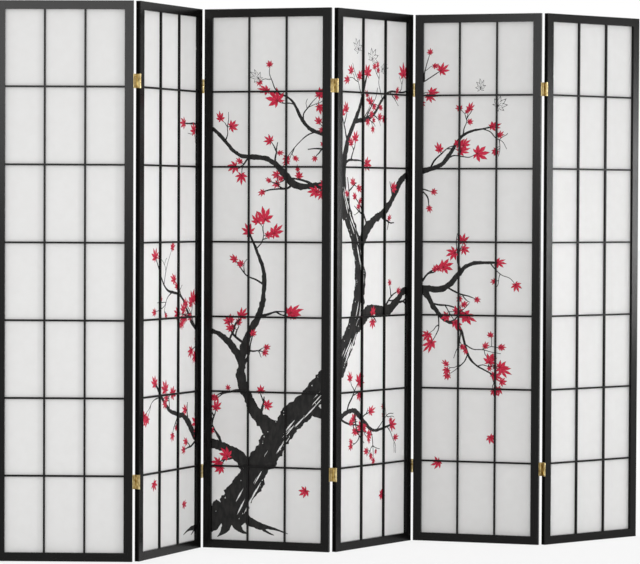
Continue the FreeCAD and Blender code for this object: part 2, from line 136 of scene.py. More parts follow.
floor_mesh = bpy.data.meshes.new("floor")
floor_mesh.from_pydata([(x * FLOOR_REACH, y * FLOOR_REACH, -FLOOR_DROP)
                        for x, y in ((-1, -1), (1, -1), (1, 1), (-1, 1))], [], [(0, 1, 2, 3)])
floor = bpy.data.objects.new("floor", floor_mesh)
scene.collection.objects.link(floor)
floor_material = bpy.data.materials.new("white floor")
floor_nodes = Nodes(floor_material)
matt = floor_nodes.tree.nodes["Principled BSDF"]
matt.inputs["Base Color"].default_value = FLOOR_WHITE
matt.inputs["Roughness"].default_value = FLOOR_ROUGHNESS
matt.inputs["Specular IOR Level"].default_value = FLOOR_GLOSS
glow = floor_nodes.add("ShaderNodeEmission", {}, {"Color": PURE_WHITE, "Strength": 1.0})
floor_look = floor_nodes.add("ShaderNodeMixShader", {}, {
    "Fac": floor_nodes.seen_directly() * FLOOR_GLOW, 2: glow})
floor_nodes.tree.links.new(matt.outputs["BSDF"], floor_look.socket.node.inputs[1])
floor_nodes.join(floor_look, floor_nodes.tree.nodes["Material Output"].inputs["Surface"])
floor_mesh.materials.append(floor_material)

world = bpy.data.worlds.new("white studio")
scene.world = world
sky = Nodes(world)
sky_surface = sky.tree.nodes["Background"]
sky_surface.inputs["Color"].default_value = PURE_WHITE
sky.join(sky.seen_directly() * (1 - SKY_LIGHT) + SKY_LIGHT, sky_surface.inputs["Strength"])


def soft_lamp(name, place, target, width, height, watts, beam=OPEN_BEAM):
    """A soft box. Its beam, in degrees, is narrow where a grid is fixed on it."""
    data = bpy.data.lights.new(name, "AREA")
    data.shape = "RECTANGLE"
    data.size = width
    data.size_y = height
    data.energy = watts
    data.spread = math.radians(beam)
    lamp = bpy.data.objects.new(name, data)
    aim = (Vector(target) - Vector(place)).to_track_quat("-Z", "Y")
    lamp.matrix_world = Matrix.Translation(place) @ aim.to_matrix().to_4x4()
    scene.collection.objects.link(lamp)


soft_lamp("left lamp", (-4.2, -5.53, 2.15), (-0.2, 0, 1.4), width=2.4, height=1.7, watts=80)
soft_lamp("right lamp", (6.0, -2.45, 1.12), (0.9, 0, 1.1), width=0.4, height=1.1, watts=42)
soft_lamp("far right lamp", (6.2, -0.27, 1.15), (0, 0, 1.1), width=0.5, height=1.0, watts=30)
soft_lamp("front right lamp", (5.6, -5.8, 1.3), (-0.6, 0, 0.85), width=0.9, height=0.9, watts=3.3, beam=22)
soft_lamp("back lamp", (0.8, 4.5, 3.6), (0, 0, 0.9), width=2.5, height=1.5, watts=94)


# Panels: six alike, each a lacquered frame that stands on the floor. Every piece below is laid out
# in its panel's own directions: across it, through it from front to back, and up.
PANELS = range(1, 7)
MICRON_DIGITS = 6
MERGE = 1e-6
UP = Vector((0, 0, 1))
GRAIN_SHIFT = 0.731
FLAT_TURN = 1
SHARP_TURN = 40
EASING_STEPS = 2


class Panel:
    """Where one panel stands, measured on its paper and its stiles."""

    def __init__(self, number):
        self.number = number
        self.body = f"panel_{number}"
        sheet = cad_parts[f"panel_{number}_paper"].data
        corners = {(round(v.co.x, MICRON_DIGITS), round(v.co.y, MICRON_DIGITS)) for v in sheet.vertices}
        corners = [Vector((x, y, 0)) for x, y in sorted(corners)]
        left, right = (corners[0] + corners[1]) / 2, (corners[2] + corners[3]) / 2
        self.across = (right - left).normalized()
        self.back = UP.cross(self.across)
        self.start = Vector()
        low, high = self.extent("stiles")
        self.start = low.x * self.across + low.y * self.back
        self.size = high - low

    def inside(self, point):
        """A point of the room in this panel's own directions."""
        away = point - self.start
        return Vector((away.dot(self.across), away.dot(self.back), away.z))

    def extent(self, piece):
        places = [self.inside(v.co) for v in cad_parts[f"panel_{self.number}_{piece}"].data.vertices]
        low = Vector([min(place[i] for place in places) for i in range(3)])
        high = Vector([max(place[i] for place in places) for i in range(3)])
        return low, high

    def placing(self):
        turn = Matrix((self.across, self.back, UP)).transposed().to_4x4()
        return Matrix.Translation(self.start) @ turn


panels = [Panel(number) for number in PANELS]


def plain_mesh(piece):
    """Give a piece the mesh that its modifiers make of it."""
    graph = bpy.context.evaluated_depsgraph_get()
    mesh = bpy.data.meshes.new_from_object(piece.evaluated_get(graph), preserve_all_data_layers=True,
                                           depsgraph=graph)
    piece.modifiers.clear()
    piece.data = mesh
    return piece


def keep_place(mesh, panel):
    """Store every vertex's place in its panel, which the finishes follow."""
    shift = Vector((GRAIN_SHIFT * panel.number, 0, 0))
    places = mesh.attributes.new("place", "FLOAT_VECTOR", "POINT")
    for vertex, stored in zip(mesh.vertices, places.data):
        stored.vector = panel.inside(vertex.co) + shift


def eased(name, panel, body, nodes, easing, finishes, cutter=None):
    """CAD pieces with their sharp edges rounded over, which stand in for the plain ones.

    The edges take the last of the finishes. A cutter is taken out of the pieces first."""
    shape = bmesh.new()
    for node in nodes:
        shape.from_mesh(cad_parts[node].data)
    bmesh.ops.remove_doubles(shape, verts=shape.verts, dist=MERGE)
    bmesh.ops.dissolve_limit(shape, angle_limit=math.radians(FLAT_TURN), verts=shape.verts, edges=shape.edges)
    for face in shape.faces:
        face.smooth = True
        face.material_index = 0
    mesh = bpy.data.meshes.new(name)
    shape.to_mesh(mesh)
    shape.free()
    mesh.attributes.remove(mesh.attributes["custom_normal"])
    for finish in finishes:
        mesh.materials.append(finish)
    piece = bpy.data.objects.new(name, mesh)
    scene.collection.objects.link(piece)
    if cutter:
        cutting = piece.modifiers.new("grooves", "BOOLEAN")
        cutting.object = cutter
    rounding = piece.modifiers.new("rounding", "BEVEL")
    rounding.width = easing
    rounding.segments = EASING_STEPS
    rounding.limit_method = "ANGLE"
    rounding.angle_limit = math.radians(SHARP_TURN)
    rounding.harden_normals = True
    rounding.material = len(finishes) - 1
    plain_mesh(piece)
    keep_place(piece.data, panel)
    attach(piece, body)
    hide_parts(*nodes)
    return piece


def new_finish(name):
    material = bpy.data.materials.new(name)
    nodes = Nodes(material)
    surface = nodes.tree.nodes["Principled BSDF"]
    place = nodes.add("ShaderNodeAttribute", {"attribute_name": "place"}, output="Vector")
    return material, nodes, surface, place


def stretched(nodes, place, spacing, detail=2.0):
    """Cloudy noise whose patches are of the given size along each direction."""
    scaled = nodes.add("ShaderNodeVectorMath", {"operation": "DIVIDE"}, {0: place, 1: spacing})
    return nodes.add("ShaderNodeTexNoise", {}, {"Vector": scaled, "Scale": 1.0, "Detail": detail})


def ramp(nodes, value, low, high):
    """0 below low, 1 above high, and a straight rise between them."""
    return nodes.add("ShaderNodeMapRange", {}, {"Value": value, "From Min": low, "From Max": high})


def mixed(nodes, share, first, second):
    return nodes.add("ShaderNodeMix", {"data_type": "RGBA"}, {0: share, 6: first, 7: second}, output=2)


def bumped(nodes, surface, height, distance):
    relief = nodes.add("ShaderNodeBump", {}, {"Height": height, "Distance": distance})
    nodes.join(relief, surface.inputs["Normal"])


LACQUER_BLACK = (0.0024, 0.0022, 0.0021, 1)
LACQUER_THIN = (0.0060, 0.0054, 0.0049, 1)
LACQUER_RUBBED = (0.02, 0.0165, 0.0135, 1)
BRUSH_MARK_TO_PORE = 6
HANDLED_PATCH = (0.16, 0.16, 0.16)
NICK_SIZE = (0.006, 0.006, 0.011)
LACQUER_RELIEF = 0.00004
GRAIN_DULLS = 0.03
HANDS_DULL = 0.02


def lacquer(name, pore, sheen, gloss, rubbed):
    """Satin black lacquer brushed over close-grained wood. pore is the size of its grain marks."""
    material, nodes, surface, place = new_finish(name)
    grain = stretched(nodes, place, pore, detail=3.0)
    brush = stretched(nodes, place, tuple(BRUSH_MARK_TO_PORE * length for length in pore), detail=1.0)
    hands = stretched(nodes, place, HANDLED_PATCH)
    colour = mixed(nodes, ramp(nodes, grain, 0.42, 0.68), LACQUER_BLACK, LACQUER_THIN)
    if rubbed:
        nicks = ramp(nodes, stretched(nodes, place, NICK_SIZE, detail=4.0), 0.6, 0.68)
        colour = mixed(nodes, nicks, colour, LACQUER_RUBBED)
    nodes.join(colour, surface.inputs["Base Color"])
    nodes.join(sheen + ramp(nodes, grain, 0.3, 0.7) * GRAIN_DULLS + ramp(nodes, hands, 0.4, 0.7) * HANDS_DULL,
               surface.inputs["Roughness"])
    surface.inputs["Specular IOR Level"].default_value = gloss
    bumped(nodes, surface, grain * 0.7 + brush * 0.5, LACQUER_RELIEF)
    return material


# Stiles: the upright frame members, 28 mm wide. The lacquered wood has its arris taken off on every
# edge, and is mortised for the rails and drilled for the hinge screws.
ALONG_UPRIGHT = (0.0011, 0.0011, 0.055)
FRAME_EASING = 0.0005
FRAME_SHEEN = 0.19
EDGE_SHEEN = FRAME_SHEEN - 0.02
FRAME_GLOSS = 0.16
stile_finish = [lacquer("stile lacquer", ALONG_UPRIGHT, FRAME_SHEEN, FRAME_GLOSS, rubbed=False),
                lacquer("stile edge lacquer", ALONG_UPRIGHT, EDGE_SHEEN, FRAME_GLOSS, rubbed=True)]
for panel in panels:
    eased(f"stiles_{panel.number}", panel, panel.body, [f"panel_{panel.number}_stiles"], FRAME_EASING,
          stile_finish)

# Rails: the top and bottom frame members, tenoned into the stiles, with their grain across the panel.
ALONG_RAIL = (0.055, 0.0011, 0.0011)
rail_finish = [lacquer("rail lacquer", ALONG_RAIL, FRAME_SHEEN, FRAME_GLOSS, rubbed=False),
               lacquer("rail edge lacquer", ALONG_RAIL, EDGE_SHEEN, FRAME_GLOSS, rubbed=True)]
for panel in panels:
    eased(f"rails_{panel.number}", panel, panel.body, [f"panel_{panel.number}_rails"], FRAME_EASING,
          rail_finish)

# Lattice: thin lacquered strips, halved over each other and let into the frame, set a little back
# from its face. Their lacquer is a shade flatter than the frame's.
BAR_EASING = 0.0003
BAR_SHEEN = 0.3
BAR_GLOSS = 0.16
upright_finish = [lacquer("upright bar lacquer", ALONG_UPRIGHT, BAR_SHEEN, BAR_GLOSS, rubbed=False)]
crossbar_finish = [lacquer("crossbar lacquer", ALONG_RAIL, BAR_SHEEN, BAR_GLOSS, rubbed=False)]
for panel in panels:
    for kind, finish in (("uprights", upright_finish), ("crossbars", crossbar_finish)):
        eased(f"{kind}_{panel.number}", panel, panel.body, [f"panel_{panel.number}_{kind}"], BAR_EASING,
              finish)

# Printed paper: one sheet of white shoji paper in each panel, glued into the rebate behind the
# lattice. A maple in black ink with crimson leaves is printed over the four middle panels, drawn as
# one picture in metres from the left edge of panel 2. Panels 1 and 6 have no print.
PRINT_PITCH = 0.4444
PRINTED = range(2, 6)
SMALLEST_MARK = 2e-7
PAPER, INK, CRIMSON, DEEP_CRIMSON, INK_WITH_SHADE_BEHIND, CRIMSON_WITH_SHADE_BEHIND = range(6)
# The back of each sheet shows the print dimmed: partly the ink seen through the paper, partly painted shade
# where the ink stops light that comes through it.
BEHIND = {PAPER: PAPER, INK: INK_WITH_SHADE_BEHIND, CRIMSON: CRIMSON_WITH_SHADE_BEHIND, DEEP_CRIMSON: CRIMSON_WITH_SHADE_BEHIND}
chance = random.Random(41)
print_shapes = []


def printed(shade, corners):
    """Add a flat shape to the print, on top of all that is there."""
    area = sum(a.x * b.y - b.x * a.y for a, b in zip(corners, corners[1:] + corners[:1]))
    if abs(area) > SMALLEST_MARK:
        print_shapes.append((shade, corners if area > 0 else corners[::-1]))


def smooth_line(points, step):
    """Points along a rounded line through the given ones, each an (across, up, width) vector."""
    points = [Vector(point) for point in points]
    padded = [2 * points[0] - points[1]] + points + [2 * points[-1] - points[-2]]
    line = []
    for before, start, end, after in zip(padded, padded[1:], padded[2:], padded[3:]):
        count = max(2, round((end - start).to_2d().length / step))
        for i in range(count):
            t = i / count
            line.append(0.5 * (2 * start + (end - before) * t
                               + (2 * before - 5 * start + 4 * end - after) * t ** 2
                               + (3 * start - before - 3 * end + after) * t ** 3))
    return line + [points[-1]]


def side_of(line, i):
    """The direction square to a line at one of its points."""
    along = (line[min(i + 1, len(line) - 1)] - line[max(i - 1, 0)]).to_2d().normalized()
    return Vector((-along.y, along.x))


WAVES_PER_METRE = 17
SIDES_APART = 5
THINNEST_STROKE = 0.0021
RIPPLES = ((1, 1), (3.3, 0.7), (9.7, 0.6))
KNOT_PITCH = 2.1
KNOT_PLACE = Vector((9, 3, 1))
KNOT_RARITY = 0.28
KNOT_SWELL = 2.2


def brush_stroke(line, roughness, seed=0.0):
    """A stroke of black ink along a line, whose two edges wander by a share of its width."""
    edges = []
    for i, point in enumerate(line):
        side = side_of(line, i)
        pair = []
        for turn in (1, -1):
            here = Vector((point.x * WAVES_PER_METRE + SIDES_APART * turn, point.y * WAVES_PER_METRE, seed))
            wander = 0.0
            for pitch, depth in RIPPLES:
                wander += depth * noise.noise(here * pitch)
            knot = max(0, noise.noise(here * KNOT_PITCH + KNOT_PLACE) - KNOT_RARITY) * KNOT_SWELL
            half = 0.5 * max(point.z, THINNEST_STROKE) * (1 + roughness * (wander + knot))
            pair.append(point.to_2d() + turn * half * side)
        edges.append(pair)
    for (left, right), (next_left, next_right) in zip(edges, edges[1:]):
        printed(INK, [left, right, next_right])
        printed(INK, [left, next_right, next_left])


STREAK_SWELL = (0.6, 1.3)


def dry_streak(line, i, offset, length, width):
    """A thin gap where the dry brush skips over the paper, along a line and off to its side."""
    last = i
    while last < len(line) - 2 and (line[last] - line[i]).to_2d().length < length:
        last += 1
    spine = [line[j].to_2d() + side_of(line, j) * offset * line[j].z for j in range(i, last + 1)]
    ends = len(spine) - 1
    if ends > 2:
        swell = [width / 2 * math.sin(math.pi * j / ends) * chance.uniform(*STREAK_SWELL)
                 for j in range(ends + 1)]
        left = [spine[j] + side_of(line, i + j) * swell[j] for j in range(1, ends)]
        right = [spine[j] - side_of(line, i + j) * swell[j] for j in range(1, ends)]
        printed(PAPER, [spine[0]] + left + [spine[-1]] + right[::-1])


# Half of a leaf as (turn in degrees, reach) round the end of its stalk. The other half mirrors it, so
# that it has seven pointed lobes. Shares are of the leaf's reach.
LOBES = ((0, 1.0), (38, 0.94), (78, 0.78), (122, 0.5))
LOBE_HALF_TURN = 11.5
LOBE_APART = 46
SHOULDER = 0.68
NOTCH = 0.4
NOTCH_RISE = 0.1
LAST_NOTCH = 0.6
STALK_NOTCH = 0.04
MARGIN_TURN = 60
MARGIN_AT_TIP = 1.6


def leaf_outline(slimness, margin):
    """The leaf's edge for a reach of 1, from one side of its stalk round to the other."""
    tips = [(-turn, reach) for turn, reach in LOBES[:0:-1]] + list(LOBES)
    half = LOBE_HALF_TURN * slimness + MARGIN_TURN * margin
    edge = []
    for i, (turn, reach) in enumerate(tips):
        before = tips[i - 1][0] if i else turn - LOBE_APART
        edge += [((turn + before) / 2, NOTCH * min(1, reach + NOTCH_RISE) + margin),
                 (turn - half, reach * SHOULDER),
                 (turn, reach + MARGIN_AT_TIP * margin),
                 (turn + half, reach * SHOULDER)]
    edge.append((tips[-1][0] + LOBE_APART / 2, NOTCH * LAST_NOTCH + margin))
    edge.append((180, STALK_NOTCH + margin))
    return edge


LEAF_SLANT = (0.6, 1.0)
LEAF_CURL = (-14, 14)
LEAF_SLIMNESS = (0.9, 1.25)
LEAF_RIM = 0.0013
OUTLINE_RIM = 0.0032
VEIN_HALF_WIDTH = 0.0009
VEIN_REACH = 0.82


def leaf(place, heading, size, filled=True):
    """A maple leaf that grows from place. Some are seen aslant, so they look narrower."""
    slant = chance.uniform(*LEAF_SLANT)
    curl = chance.uniform(*LEAF_CURL)
    slimness = chance.uniform(*LEAF_SLIMNESS)
    ahead = Vector((math.sin(heading), math.cos(heading)))
    aside = Vector((ahead.y, -ahead.x))

    def spot(turn, reach):
        angle = math.radians(turn + curl * reach)
        return place + size * reach * (math.cos(angle) * ahead + slant * math.sin(angle) * aside)

    margin = (LEAF_RIM if filled else OUTLINE_RIM) / size
    rim, body = (DEEP_CRIMSON, CRIMSON) if filled else (INK, PAPER)
    printed(rim, [spot(turn, reach) for turn, reach in leaf_outline(slimness, margin)])
    printed(body, [spot(turn, reach) for turn, reach in leaf_outline(slimness, 0)])
    for turn, reach in [(-turn, reach) for turn, reach in LOBES[1:]] + list(LOBES):
        vein = spot(turn, reach * VEIN_REACH)
        square = (vein - place).orthogonal().normalized() * VEIN_HALF_WIDTH
        printed(rim, [place + square, place - square, vein])


STROKE_STEP = 0.007
TWIG_BEND = (-0.6, 0.6)
TWIG_CROOK = (-0.3, 0.3)
TWIG_JOINTS = 5
TWIG_TAPER = 0.16
TWIG_ROUGHNESS = 0.35
FORKING_LENGTH = 0.05
FORK_PLACE = (0.35, 0.7)
FORK_TURN = (0.6, 1.1)
FORK_LENGTH = (0.3, 0.55)
FORK_WIDTH = 0.65
FORK_LEAF = 0.9
TIP_LEAF_BELOW = 0.66
TIP_LEAF_TURN = (-0.5, 0.5)
TIP_LEAF_SIZE = (0.7, 1.2)
SIDE_LEAF_ABOVE = 0.45
LEAFY_LENGTH = 0.04
SIDE_LEAF_TURN = (0.9, 1.5)
SIDE_LEAF_SIZE = (0.6, 0.9)
STALK_LENGTH = (0.008, 0.014)
STALK_WIDTHS = (0.0028, 0.0022)
STALK_ROUGHNESS = 0.1


def twig(start, heading, length, width, size):
    """A thin crooked branch. It forks once or twice, and leaves hang from its ends and sides."""
    bend = chance.uniform(*TWIG_BEND)
    points = []
    here = Vector(start)
    for i in range(TWIG_JOINTS):
        points.append((here.x, here.y, width * (1 - TWIG_TAPER * i)))
        turned = heading + bend * i / 3 + chance.uniform(*TWIG_CROOK)
        here = here + Vector((math.sin(turned), math.cos(turned))) * length / (TWIG_JOINTS - 1)
    line = smooth_line(points, STROKE_STEP)
    brush_stroke(line, TWIG_ROUGHNESS, seed=length * 50)
    if length > FORKING_LENGTH:
        for side in chance.choice(((1,), (-1,), (1, -1))):
            at = line[round(chance.uniform(*FORK_PLACE) * (len(line) - 1))].to_2d()
            turned = heading + side * chance.uniform(*FORK_TURN)
            twig(at, turned, length * chance.uniform(*FORK_LENGTH), width * FORK_WIDTH, size * FORK_LEAF)
    tip = line[-1].to_2d()
    kind = chance.random()
    if kind < TIP_LEAF_BELOW:
        leaf(tip, heading + bend + chance.uniform(*TIP_LEAF_TURN), size * chance.uniform(*TIP_LEAF_SIZE))
    if kind > SIDE_LEAF_ABOVE and length > LEAFY_LENGTH:
        at = line[len(line) // 2].to_2d()
        out = heading + chance.choice((-1, 1)) * chance.uniform(*SIDE_LEAF_TURN)
        foot = at + Vector((math.sin(out), math.cos(out))) * chance.uniform(*STALK_LENGTH)
        stalk = smooth_line([(*at, STALK_WIDTHS[0]), (*foot, STALK_WIDTHS[1])], step=0.01)
        brush_stroke(stalk, STALK_ROUGHNESS)
        leaf(foot, out, size * chance.uniform(*SIDE_LEAF_SIZE))


# The trunk, its limbs and its roots, each as points (across, up, width of the stroke).
TRUNK = (
    (0.525, 0.085, 0.118), (0.555, 0.14, 0.100), (0.60, 0.22, 0.090), (0.66, 0.32, 0.086),
    (0.735, 0.42, 0.080), (0.83, 0.52, 0.074), (0.935, 0.64, 0.068), (1.01, 0.77, 0.062),
    (1.035, 0.90, 0.055), (1.005, 1.03, 0.048), (0.955, 1.13, 0.040), (0.935, 1.24, 0.030),
    (0.965, 1.36, 0.022), (1.03, 1.47, 0.014), (1.07, 1.58, 0.007))
CROWN_FROM = 9
LIMBS = (
    ((0.71, 0.37, 0.06), (0.63, 0.45, 0.040), (0.575, 0.56, 0.032), (0.585, 0.68, 0.026), (0.64, 0.79, 0.020),
     (0.65, 0.92, 0.014), (0.60, 1.05, 0.007)),
    ((0.63, 0.24, 0.06), (0.53, 0.33, 0.034), (0.43, 0.36, 0.027), (0.34, 0.44, 0.021), (0.23, 0.47, 0.015),
     (0.13, 0.56, 0.008)),
    ((0.99, 0.72, 0.06), (1.10, 0.79, 0.037), (1.20, 0.79, 0.031), (1.31, 0.86, 0.025), (1.43, 0.86, 0.019),
     (1.52, 0.94, 0.013), (1.62, 0.95, 0.007)),
    ((1.01, 0.98, 0.05), (1.09, 1.08, 0.031), (1.19, 1.13, 0.025), (1.29, 1.24, 0.020), (1.42, 1.28, 0.015),
     (1.50, 1.38, 0.009), (1.60, 1.41, 0.005)),
    ((0.96, 1.11, 0.045), (0.87, 1.20, 0.028), (0.76, 1.21, 0.023), (0.67, 1.29, 0.018), (0.56, 1.31, 0.014),
     (0.46, 1.40, 0.009), (0.33, 1.41, 0.005)),
    ((0.58, 0.62, 0.026), (0.50, 0.71, 0.017), (0.40, 0.74, 0.014), (0.31, 0.84, 0.010), (0.20, 0.87, 0.007),
     (0.13, 0.97, 0.004)),
    ((0.79, 0.48, 0.042), (0.90, 0.44, 0.024), (1.00, 0.46, 0.018), (1.11, 0.39, 0.012), (1.22, 0.40, 0.006)),
    ((1.36, 0.86, 0.020), (1.43, 0.76, 0.013), (1.49, 0.73, 0.010), (1.53, 0.62, 0.007), (1.61, 0.57, 0.004)),
    ((0.945, 1.27, 0.026), (0.88, 1.36, 0.016), (0.80, 1.40, 0.012), (0.74, 1.49, 0.008),
     (0.66, 1.52, 0.004)),
    ((1.00, 1.42, 0.018), (1.10, 1.44, 0.012), (1.19, 1.52, 0.008), (1.30, 1.53, 0.005), (1.42, 1.60, 0.003)),
)
ROOTS = (
    ((0.505, 0.150, 0.050), (0.470, 0.098, 0.036), (0.425, 0.072, 0.020), (0.372, 0.066, 0.009),
     (0.330, 0.052, 0.002)),
    ((0.510, 0.130, 0.050), (0.487, 0.084, 0.034), (0.462, 0.056, 0.017), (0.430, 0.046, 0.003)),
    ((0.530, 0.130, 0.056), (0.523, 0.080, 0.036), (0.510, 0.052, 0.018), (0.492, 0.036, 0.003)),
    ((0.545, 0.130, 0.050), (0.556, 0.084, 0.032), (0.576, 0.058, 0.015), (0.602, 0.049, 0.003)),
    ((0.565, 0.150, 0.054), (0.592, 0.100, 0.036), (0.636, 0.078, 0.021), (0.688, 0.070, 0.010),
     (0.738, 0.054, 0.002)),
    ((0.425, 0.074, 0.012), (0.404, 0.058, 0.008), (0.386, 0.046, 0.002)),
    ((0.640, 0.080, 0.012), (0.662, 0.060, 0.008), (0.690, 0.048, 0.002)),
)
LIMB_ROUGHNESS = 0.42
TRUNK_ROUGHNESS = 0.26
ROOT_ROUGHNESS = 0.4
for order, points in enumerate(LIMBS):
    brush_stroke(smooth_line(points, STROKE_STEP), LIMB_ROUGHNESS, seed=order * 3.7)
trunk_line = smooth_line(TRUNK, STROKE_STEP)
brush_stroke(trunk_line, TRUNK_ROUGHNESS, seed=60.0)
for order, points in enumerate(ROOTS):
    brush_stroke(smooth_line(points, step=0.006), ROOT_ROUGHNESS, seed=70 + order * 2.3)

# The dry brush leaves streaks and specks of bare paper in the trunk, most of them on its right.
BARK_WIDTH = 0.034
STREAK_COUNT = 64
STREAK_SIZE = (0.25, 1.0)
STREAK_OFFSET = (-0.45, 0.1, -0.38)
STREAK_LENGTH = 0.07
STREAK_WIDTH = 0.0055
SPECK_COUNT = 70
SPECK_OFFSET = (0.28, 0.46)
SPECK_SIZE = (0.0008, 0.0022)
SPECK_CORNERS = (0.3, 2.2, 4.4)
SPECK_STRETCH = 1.6
rough_bark = [i for i, point in enumerate(trunk_line) if point.z > BARK_WIDTH]
for _ in range(STREAK_COUNT):
    i = chance.choice(rough_bark[3:-4])
    streak = chance.uniform(*STREAK_SIZE)
    offset = chance.triangular(*STREAK_OFFSET)
    dry_streak(trunk_line, i, offset, STREAK_LENGTH * streak, STREAK_WIDTH * streak)
for _ in range(SPECK_COUNT):
    i = chance.choice(rough_bark[1:-1])
    out = side_of(trunk_line, i) * chance.choice((-1, 1)) * chance.uniform(*SPECK_OFFSET) * trunk_line[i].z
    spot = trunk_line[i].to_2d() + out
    size = chance.uniform(*SPECK_SIZE)
    printed(PAPER, [spot + size * Vector((math.sin(turn), math.cos(turn) * SPECK_STRETCH))
                    for turn in SPECK_CORNERS])

# Twigs grow from the left and the right in turn along the crown and each limb, and a leaf ends each.
FIRST_TWIG = 0.14
LAST_TWIG = 0.97
TWIG_SPACING = (0.09, 0.16)
TWIG_AHEAD = (0.4, 0.9)
TWIG_ASIDE = (0.6, 1.0)
TWIG_LENGTH = (0.055, 0.14)
TWIG_WIDTH = (0.0045, 0.010)
TWIG_TO_LIMB = 0.42
LEAF_SIZES = (0.024, 0.032, 0.041)
END_LEAF = 0.034
side = 1
for points in (TRUNK[CROWN_FROM:],) + LIMBS:
    line = smooth_line(points, step=0.008)
    along = FIRST_TWIG
    while along < LAST_TWIG:
        i = round(along * (len(line) - 1))
        square = side_of(line, i) * -side
        ahead = (line[min(i + 2, len(line) - 1)] - line[max(i - 2, 0)]).to_2d().normalized()
        way = ahead * chance.uniform(*TWIG_AHEAD) + square * chance.uniform(*TWIG_ASIDE)
        width = min(TWIG_WIDTH[1], max(TWIG_WIDTH[0], line[i].z * TWIG_TO_LIMB))
        heading = math.atan2(way.x, way.y)
        twig(line[i].to_2d(), heading, chance.uniform(*TWIG_LENGTH), width, chance.choice(LEAF_SIZES))
        side = -side
        along += chance.uniform(*TWIG_SPACING)
    way = (line[-1] - line[-4]).to_2d()
    leaf(line[-1].to_2d(), math.atan2(way.x, way.y), END_LEAF)

# Fallen leaves near the foot and leaves in plain outline at the top, as (across, up, turn, size).
FALLEN_LEAVES = (
    (0.12, 0.24, 2.6, 0.028), (0.33, 0.15, 1.2, 0.026), (1.42, 0.27, -2.2, 0.030),
    (1.16, 0.17, 2.0, 0.027), (1.60, 0.36, 2.8, 0.026), (0.80, 0.20, -2.4, 0.028))
OUTLINE_LEAVES = (
    (1.10, 1.63, 0.4, 0.036), (1.16, 1.60, 1.3, 0.032), (1.02, 1.66, -0.6, 0.036),
    (1.62, 1.48, 0.9, 0.034), (1.56, 1.54, 0.1, 0.030), (0.63, 1.56, -0.8, 0.034))
for across, up, turn, size in FALLEN_LEAVES:
    leaf(Vector((across, up)), turn, size)
for across, up, turn, size in OUTLINE_LEAVES:
    leaf(Vector((across, up)), turn, size, filled=False)


PRINT_MARGIN = 0.002
CUT_MERGE = 1e-7


def sheet_corners(low, high):
    return [Vector(spot) for spot in ((low.x, low.z), (high.x, low.z), (high.x, high.z), (low.x, high.z))]


def sheet_triangles(low, high, first):
    """Cut a sheet into triangles along every printed edge, each with the shade that is on top."""
    corners = sheet_corners(low, high)
    faces = [[0, 1, 2, 3]]
    shades = [PAPER]
    for shade, shape in print_shapes:
        placed = [Vector((spot.x - first, spot.y)) for spot in shape]
        reach = [spot.x for spot in placed]
        if max(reach) > low.x - PRINT_MARGIN and min(reach) < high.x + PRINT_MARGIN:
            faces.append(list(range(len(corners), len(corners) + len(placed))))
            corners += placed
            shades.append(shade)
    cut = delaunay_2d_cdt(corners, [], faces, 1, CUT_MERGE)
    spots, triangles, covers = cut[0], cut[2], cut[5]
    kept = [(triangle, shades[max(cover)]) for triangle, cover in zip(triangles, covers) if 0 in cover]
    return spots, kept


LYING_FIBRE = (0.0035, 0.0035, 0.0006)
STANDING_FIBRE = (0.0006, 0.0035, 0.0035)
FIBRE_RELIEF = 0.00003
FIBRES_TINT = 0.5
FIBRES_DULL = 0.1
PAPER_GLOSS = 0.25


def paper_finish(name, dark, pale, roughness, marks):
    """Paper, or ink on paper: two shades in soft patches, over the sheet's fine fibres."""
    material, nodes, surface, place = new_finish(name)
    clouds = stretched(nodes, place, marks, detail=3.0)
    fibres = stretched(nodes, place, LYING_FIBRE, detail=3.0)
    cross_fibres = stretched(nodes, place, STANDING_FIBRE, detail=3.0)
    patches = ramp(nodes, clouds + (fibres - 0.5) * FIBRES_TINT, 0.36, 0.64)
    nodes.join(mixed(nodes, patches, dark, pale), surface.inputs["Base Color"])
    nodes.join(roughness + fibres * FIBRES_DULL, surface.inputs["Roughness"])
    surface.inputs["Specular IOR Level"].default_value = PAPER_GLOSS
    bumped(nodes, surface, fibres * 0.5 + cross_fibres * 0.5, FIBRE_RELIEF)
    return material


# The six shades as (name, dark, pale, roughness, size of the patches).
paper_shades = [paper_finish(*finish) for finish in (
    ("white paper", (0.812, 0.808, 0.800, 1), (0.828, 0.825, 0.818, 1), 0.8, (0.03, 0.03, 0.03)),
    ("black ink", (0.006, 0.006, 0.006, 1), (0.019, 0.018, 0.017, 1), 0.62, (0.012, 0.012, 0.03)),
    ("crimson ink", (0.58, 0.012, 0.045, 1), (0.68, 0.035, 0.085, 1), 0.66, (0.012, 0.012, 0.012)),
    ("deep crimson ink", (0.16, 0.006, 0.014, 1), (0.25, 0.008, 0.022, 1), 0.66, (0.01, 0.01, 0.01)),
    # The last two are the back of the sheet: the print seen through the paper, darkened further with painted
    # shade where the ink stops light passing through.
    ("black ink with painted shade seen from behind", (0.40, 0.40, 0.40, 1), (0.47, 0.47, 0.47, 1), 0.8, (0.02, 0.02, 0.02)),
    ("crimson ink with painted shade seen from behind", (0.76, 0.47, 0.49, 1), (0.79, 0.53, 0.55, 1), 0.8, (0.02, 0.02, 0.02)),
)]
